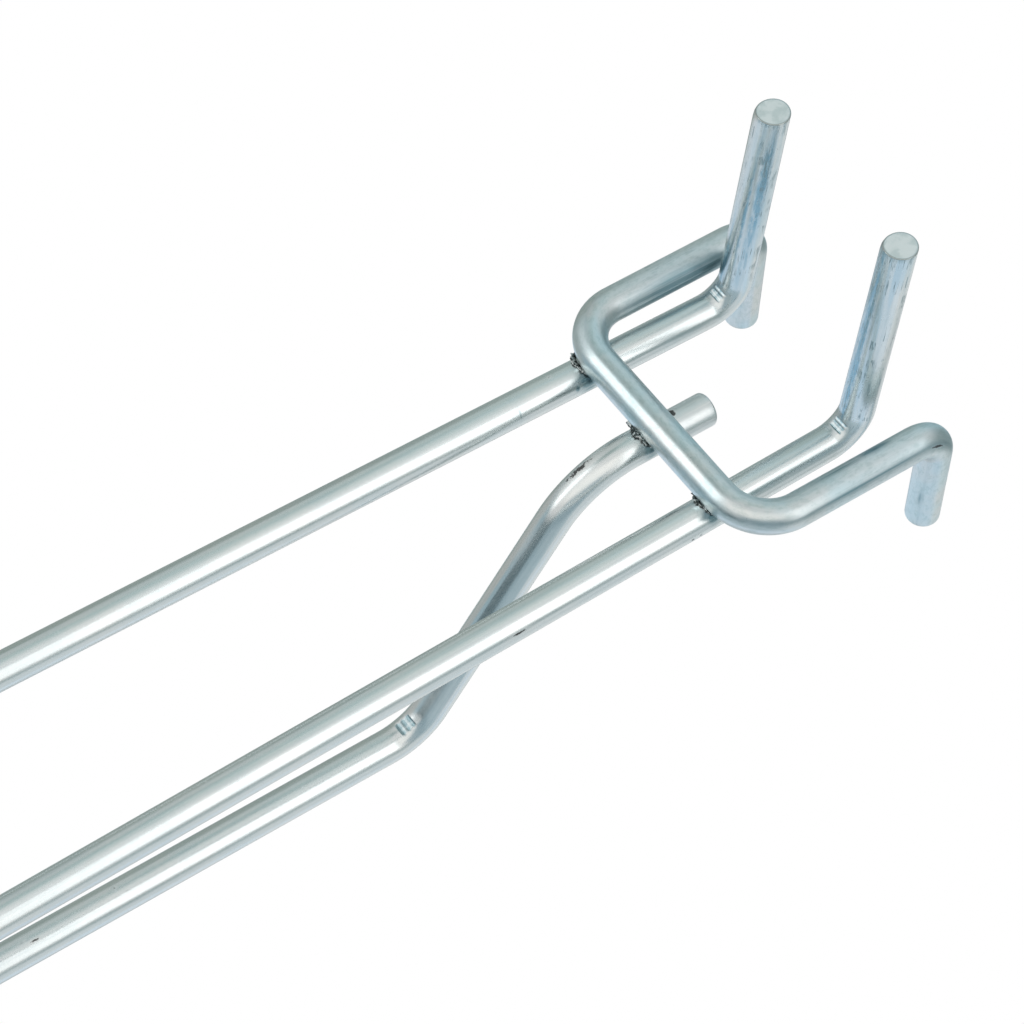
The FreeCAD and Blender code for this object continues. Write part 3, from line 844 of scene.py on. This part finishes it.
def film_colour(skin, patterns, film):
    """The film drifts from bright to cool with the clouds and is the hazed colour where it is worn.

    On it come, one over the other, the draw lines, the mottles, the blue tint and the darkening of the
    dulled places, which is partly real stain and partly painted shade and painted dark reflection, and is
    deepest where its weight is above 1. Then come the scratches, specks, rims and cut faces.
    """
    clouded = patterns.clouds.between(0.35, 0.65).mix((*film.bright, 1), (*film.cool, 1))
    plain = skin.wear.mix(clouded, (*film.hazed, 1))
    lined = patterns.lines.between(0.25, 0.62).mix(plain.scaled(DRAWN_GREY), plain)
    mottles = film.mottling * skin.place.scaled(MOTTLE_STRETCH).noise(1.0, 4.0, 0.7).between(0.44, 0.66)
    mottled = mottles.mix(lined, plain.scaled(MOTTLE))
    tint = skin.streaks * skin.place.scaled(TINT_STRETCH).noise(1.0, 2.0).between(0.48, 0.64)
    tinted = tint.mix(mottled, plain.scaled(BLUE_TINT))
    # Partly painted shade and painted dark reflection, partly real stains: grey on the wires, blue on the
    # tails.
    shallow = skin.streaks.mix(plain.scaled(GREY_SHADE_AND_STAIN), plain.scaled(BLUE_SHADE_AND_STAIN))
    # Painted shade: weights above 1, mostly beside the welds, turn the film nearly black.
    shade_and_stain = (skin.dull - 1.0).between(0.0, 0.6).mix(shallow, plain.scaled(DEEP_SHADE_AND_STAIN))
    wrinkles = skin.streaks * skin.place.scaled(WRINKLE_STRETCH).noise(1.0, 4.0, 0.65).between(0.45, 0.58)
    strength = (0.5 + patterns.lines.between(0.30, 0.60)) * (1.0 + 0.5 * skin.streaks - 0.75 * wrinkles)
    shaded_and_stained = (skin.dull * strength).mix(tinted, shade_and_stain)
    scratched = patterns.scratches.mix(shaded_and_stained, plain.scaled(SCRATCH))
    speckled = patterns.specks.mix(scratched, plain.scaled(SPECK))
    torn = skin.place.noise(0.45, 3.0).between(0.40, 0.60).mix(TORN_DARK, TORN_BRIGHT)
    return skin.cut.mix(skin.rim.mix(speckled, plain.scaled(SHEARED_RIM)), torn)


print(f"a deep stain leaves {np.mean(DEEP_SHADE_AND_STAIN):.0%} of the film's light")

# %% Dress the wires in zinc
FILM_BUMP = 0.035
FILM_BUMP_DEPTH = 0.4 * MM
ZINC = Film(0.25, 0.12, (0.76, 0.79, 0.78), (0.73, 0.78, 0.78), (0.78, 0.80, 0.79))
HAZY_ZINC = Film(0.30, 0.6, (0.70, 0.73, 0.72), (0.62, 0.73, 0.75), (0.75, 0.83, 0.86))


def zinc_finish(name, film):
    """Zinc-plated drawn wire. The film's haze is its mean roughness, which patterns and wear change."""
    material, start, output = new_material(name)
    skin = read_skin(start)
    patterns = film_patterns(skin)
    grain = skin.place.noise(2.6, 2.0)
    rough = (film.haze + 0.10 * (patterns.lines - 0.5) + 0.08 * (grain - 0.5)
             + 0.06 * (patterns.clouds - 0.5) + 0.20 * skin.cut + 0.28 * skin.wear
             + 0.10 * patterns.scratches)
    height = patterns.lines * 0.5 - patterns.scratches * 0.5 - patterns.specks * 1.5
    colour = film_colour(skin, patterns, film)
    metal = bare_metal(start, colour, rough, height, FILM_BUMP, FILM_BUMP_DEPTH)
    material.node_tree.links.new(metal.socket, output.inputs["Surface"])
    return material


zinc = zinc_finish("zinc", ZINC)
hazy_zinc = zinc_finish("hazy_zinc", HAZY_ZINC)
DRESSING = [(prongs, "prong_wire", zinc),
            (bracket, "back_bracket", hazy_zinc),
            (overarm, "overarm_wire", zinc)]
for piece, node, finish in DRESSING:
    piece.data.materials.append(finish)
    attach(piece, "root")
    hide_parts(node)
print("dressed", [piece.name for piece, _, _ in DRESSING])

# %% [markdown]
# ## The burnt rim
# The squeezed-out metal is rough and partly scorched, and the plating covered it unevenly. Dark and
# bright spots lie side by side, so a fine noise chooses between the two colours and its height roughens
# the reflections. It needs no direction along the wire, so it reads plain Object coordinates.

# %% Dress the rims of the welds
FLECK_SCALE = 1600.0
SCORCHED = (0.07, 0.085, 0.085, 1)
ZINC_FLECK = (0.70, 0.73, 0.72, 1)
BURNT_BUMP = 0.5
BURNT_BUMP_DEPTH = 0.3 * MM


def burnt_finish(name):
    """Scorched weld metal with bright flecks of zinc."""
    material, start, output = new_material(name)
    flecks = start.node("ShaderNodeTexCoord", output="Object").noise(FLECK_SCALE, 3.0, 0.6)
    colour = flecks.between(0.48, 0.60).mix(SCORCHED, ZINC_FLECK)
    metal = bare_metal(start, colour, 0.3 + 0.3 * flecks, flecks, BURNT_BUMP, BURNT_BUMP_DEPTH)
    material.node_tree.links.new(metal.socket, output.inputs["Surface"])
    return material


burnt_zinc = burnt_finish("burnt_zinc")
for piece in flashes:
    piece.data.materials.append(burnt_zinc)
    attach(piece, "root")
print("dressed", [piece.name for piece in flashes])

# %% [markdown]
# ## Floor, cards and lamps
# A shiny wire has hardly any colour of its own: it shows what stands around it. So a photographer works
# with large soft lamps and plain cards. Two soft boxes give the white lines on the wires, and the cards
# give the cool greys between them. One picture of a studio on the world would do it too, but single cards
# can be moved and tinted one by one. They are hidden from the camera, so none stands in the view from any
# side. The floor is pale paper far below, because the camera looks up from under the hook.

# %% Lay the floor
FLOOR_Z = -1.3
FLOOR_HALF = 60.0
PAPER = (0.9, 0.9, 0.9)


def plain_material(name, colour, glow=None):
    """A matt surface, or one that glows evenly."""
    material, start, output = new_material(name)
    if glow is None:
        surface = start.node("ShaderNodeBsdfDiffuse", None, {"Color": (*colour, 1)})
    else:
        surface = start.node("ShaderNodeEmission", None, {"Color": (*colour, 1), "Strength": glow})
    material.node_tree.links.new(surface.socket, output.inputs["Surface"])
    return material


edges = np.array([-FLOOR_HALF, FLOOR_HALF])
corner_x, corner_y = np.meshgrid(edges, edges)
floor_points = np.stack([corner_x.ravel(), corner_y.ravel(), np.full(4, FLOOR_Z)], axis=1)
floor = add_mesh("floor", floor_points, np.array([[0, 1, 3, 2]]), np.empty((0, 3), int), {})
floor.data.materials.append(plain_material("floor_paper", PAPER))
floor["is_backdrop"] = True
print(f"floor {-FLOOR_Z:.1f} m below the hook")

# %% Hang the cards
CARD_DISTANCE = 1.3
CARD_STEPS = 12
HOOK_MIDDLE = np.array([0.0, -0.08, 0.01])


def toward(azimuth, height):
    """Directions for angles round the hook, from its front towards +X, and angles above its own height."""
    azimuth, height = np.radians(azimuth), np.radians(height)
    level = np.cos(height)
    return np.stack([np.sin(azimuth) * level, -np.cos(azimuth) * level, np.sin(height)], -1)


def hang_card(name, azimuths, heights, colour):
    """A card bent to a patch of a sphere: point = hook's middle + distance * toward(azimuth, height)."""
    azimuth, height = np.meshgrid(np.linspace(*azimuths, CARD_STEPS), np.linspace(*heights, CARD_STEPS))
    points = HOOK_MIDDLE + CARD_DISTANCE * toward(azimuth, height)
    row, column = np.meshgrid(np.arange(CARD_STEPS - 1), np.arange(CARD_STEPS - 1), indexing="ij")
    first = row * CARD_STEPS + column
    quads = np.stack([first, first + 1, first + CARD_STEPS + 1, first + CARD_STEPS], axis=-1).reshape(-1, 4)
    card = add_mesh(name, points.reshape(-1, 3), quads, np.empty((0, 3), int), {})
    card.data.materials.append(plain_material(name, colour, 1.0))
    card.visible_camera = card.visible_diffuse = card.visible_shadow = False
    card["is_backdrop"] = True


CARDS = [
    ("card_left", (-128, -90), (12, 46), (0.74, 0.78, 0.80)),
    ("card_left_low", (-128, -90), (-4, 12), (0.39, 0.46, 0.47)),
    ("card_front", (-90, 20), (12, 46), (0.46, 0.56, 0.61)),
    ("card_front_low", (-90, -28), (-28, 12), (0.32, 0.42, 0.47)),
    ("card_front_dark", (-28, 20), (-6, 12), (0.07, 0.12, 0.14)),
    ("card_right_front", (20, 42), (-6, 46), (0.38, 0.50, 0.56)),
    ("card_right_middle", (42, 86), (-6, 46), (0.50, 0.51, 0.50)),
    ("card_right", (86, 117), (-20, 46), (0.35, 0.40, 0.38)),
    ("card_right_low", (86, 117), (-54, -20), (0.56, 0.60, 0.60)),
    ("card_low_front", (-100, 0), (-72, -28), (1.12, 1.09, 1.06)),
    ("card_low_left", (-160, -132), (-74, -50), (0.94, 0.94, 0.94)),
    ("card_low_middle", (-184, -160), (-74, -50), (0.82, 0.86, 0.86)),
    ("card_low_back", (134, 176), (-74, -52), (0.66, 0.73, 0.72)),
    ("card_low_right_back", (112, 134), (-74, -52), (0.50, 0.61, 0.61)),
    ("card_low_right", (60, 112), (-74, -54), (0.32, 0.41, 0.40)),
    ("card_back_right", (117, 134), (-52, -18), (0.50, 0.59, 0.58)),
    ("card_back_right_high", (117, 134), (-18, 40), (0.36, 0.44, 0.43)),
    ("card_back_middle", (134, 166), (-52, -18), (0.62, 0.75, 0.79)),
    ("card_back_middle_high", (134, 166), (-18, 40), (0.40, 0.53, 0.57)),
    ("card_back", (166, 232), (-22, 40), (0.30, 0.36, 0.36)),
    ("card_behind", (116, 160), (40, 66), (0.16, 0.18, 0.20)),
    ("card_top_back", (160, 234), (40, 70), (0.80, 0.83, 0.84)),
    ("card_top_front", (-126, 126), (46, 70), (0.77, 0.87, 0.98)),
    ("card_top", (-180, 180), (70, 90), (0.60, 0.64, 0.67)),
]
for card in CARDS:
    hang_card(*card)
print(len(CARDS), "cards")

# %% Hang the lamps
LAMP_DISTANCE = 1.25


def hang_soft_box(name, away, width_way, size, brightness):
    """A flat lamp that faces the hook from a direction, with its width along a second direction.

    Where a white card's brightness is 1, a lamp of area A has the power pi A times its brightness.
    """
    back = unit(np.array(away))
    width_way = unit(np.array(width_way) - (back @ np.array(width_way)) * back)
    data = bpy.data.lights.new(name, "AREA")
    data.shape = "RECTANGLE"
    data.size, data.size_y = size
    data.energy = brightness * np.pi * size[0] * size[1]
    lamp = bpy.data.objects.new(name, data)
    bpy.context.scene.collection.objects.link(lamp)
    turn = np.stack([width_way, np.cross(back, width_way), back], axis=1)
    lamp.location = HOOK_MIDDLE + LAMP_DISTANCE * back
    lamp.rotation_euler = Matrix(turn.tolist()).to_euler()
    print(f"{name}: {data.energy:.2f} W")


hang_soft_box("soft_box_left", (-0.69, 0.42, -0.60), (0, 1, 0), (0.50, 1.26), 1.0)
hang_soft_box("soft_box_right", (0.407, -0.666, -0.626), (1, 0, 0), (0.45, 1.04), 1.3)

# %% [markdown]
# ## The white room
# The background is white where the camera sees it, straight or in a mirror or through glass. For all
# other light the room is a little dimmer, so that the pale floor and the wires don't wash out. A white
# card behind the hook could do it too, but a card has edges. So the world does it, and its Light Path
# node tells the two kinds of light apart.

# %% Whiten the background
ROOM_LIGHT = 0.85
SEEN_RAYS = ("Is Camera Ray", "Is Glossy Ray", "Is Transmission Ray")

world = bpy.data.worlds.new("white_room")
world.use_nodes = True
world.node_tree.nodes.clear()
start = Flow(world.node_tree)
by_camera, by_gloss, by_glass = (start.node("ShaderNodeLightPath", output=ray) for ray in SEEN_RAYS)
seen = start.maths("MAXIMUM", by_camera, start.maths("MAXIMUM", by_gloss, by_glass))
backdrop = start.node("ShaderNodeBackground", None, {"Color": (1, 1, 1, 1), "Strength": 1.0})
room = start.node("ShaderNodeBackground", None, {"Color": (1, 1, 1, 1), "Strength": ROOM_LIGHT})
sky = start.node("ShaderNodeMixShader", None, {0: seen, 1: room, 2: backdrop})
world_output = world.node_tree.nodes.new("ShaderNodeOutputWorld")
world.node_tree.links.new(sky.socket, world_output.inputs["Surface"])
bpy.context.scene.world = world
print("white background, room light", ROOM_LIGHT)

# %% [markdown]
# ## Finish
# The standard view keeps colours as they are written. The two boxes are compared, and the largest difference
# between them is printed.

# %% Compare the boxes and finish
bpy.context.scene.view_settings.view_transform = "Standard"
visual_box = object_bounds()
boxes = {"cad": [list(corner) for corner in cad_box], "visual": [list(corner) for corner in visual_box]}
differences = np.abs(np.array(boxes["cad"]) - np.array(boxes["visual"]))
print(f"the boxes differ by {differences.max() / MM:.3f} mm at most")
